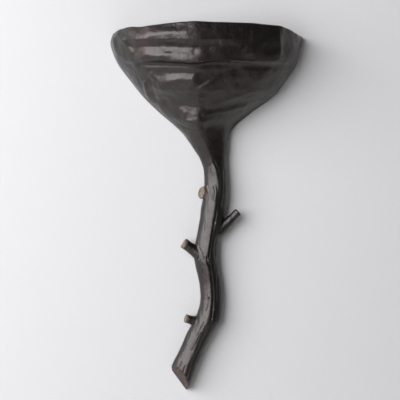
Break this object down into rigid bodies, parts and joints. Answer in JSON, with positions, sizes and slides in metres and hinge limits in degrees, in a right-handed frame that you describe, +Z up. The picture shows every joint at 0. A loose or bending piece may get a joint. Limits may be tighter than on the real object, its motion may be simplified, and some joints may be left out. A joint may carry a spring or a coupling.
{
  "type": "torch sconce",
  "caption": "Torch-shaped wall sconce: folded half bowl of dark cast bronze on a cast branch, lamp hidden inside the bowl",
  "frame": {"origin": "middle of the two wall-screw slots, on the wall plane", "axes": "+Z up along the wall, +Y into the wall, +X to the right as seen from the room"},
  "size_m": [0.3052, 0.1301, 0.5635],
  "materials": {
    "patinated_bronze": "dark brown-black chemical patina, waxed, rubbed to a tan colour on the cut twig ends",
    "zinc_steel": "bright zinc plated",
    "black_steel": "satin black powder coat",
    "plain_brass": "bare turned brass",
    "nickel_cap": "nickel-plated sheet",
    "black_phenolic": "moulded phenolic, satin",
    "porcelain": "white porcelain",
    "grey_polyamide": "moulded off-white polyamide",
    "black_rubber": "matt",
    "clear_glass": "clear blown glass",
    "phosphor_yellow": "silicone with yellow phosphor, unlit",
    "black_insulator": "black glass insulator",
    "solder_tin": "solder",
    "brown_insulation": "PVC insulation",
    "blue_insulation": "PVC insulation",
    "green_yellow_insulation": "PVC insulation, green with a yellow stripe"
  },
  "bodies": {
    "sconce": {"bowl": "patinated_bronze", "stem": "patinated_bronze", "neck_stud": "zinc_steel", "neck_washer": "zinc_steel", "neck_nut": "zinc_steel", "neck_dowel": "zinc_steel", "wall_bracket": "zinc_steel", "mounting_studs": "zinc_steel", "cap_nuts": "plain_brass", "back_plate": "black_steel", "back_plate_screws": "zinc_steel", "stem_pads": "black_rubber", "cable_grommet": "black_rubber", "lamp_bracket": "zinc_steel", "lamp_bracket_screws": "zinc_steel", "lamp_nipple": "zinc_steel", "nipple_lockwasher": "zinc_steel", "nipple_nut": "plain_brass", "lampholder_cap": "black_phenolic", "lampholder_body": "black_phenolic", "lampholder_insert": "porcelain", "lampholder_sleeve": "nickel_cap", "lampholder_contact": "plain_brass", "terminal_block": "grey_polyamide", "terminal_clamps": "plain_brass", "terminal_screws": "zinc_steel", "terminal_block_screw": "zinc_steel", "earth_screw": "plain_brass", "earth_tag": "solder_tin", "live_lead": "brown_insulation", "neutral_lead": "blue_insulation", "earth_lead": "green_yellow_insulation"},
    "bulb": {"bulb_glass": "clear_glass", "bulb_mount": "clear_glass", "bulb_filaments": "phosphor_yellow", "bulb_cap": "nickel_cap", "bulb_insulator": "black_insulator", "bulb_tip": "solder_tin"}
  },
  "joints": [
    {"name": "bulb_lift", "type": "slide", "parent": "sconce", "child": "bulb", "axis": [0, 0, 1], "range_m": [0, 0.12]}
  ]
}
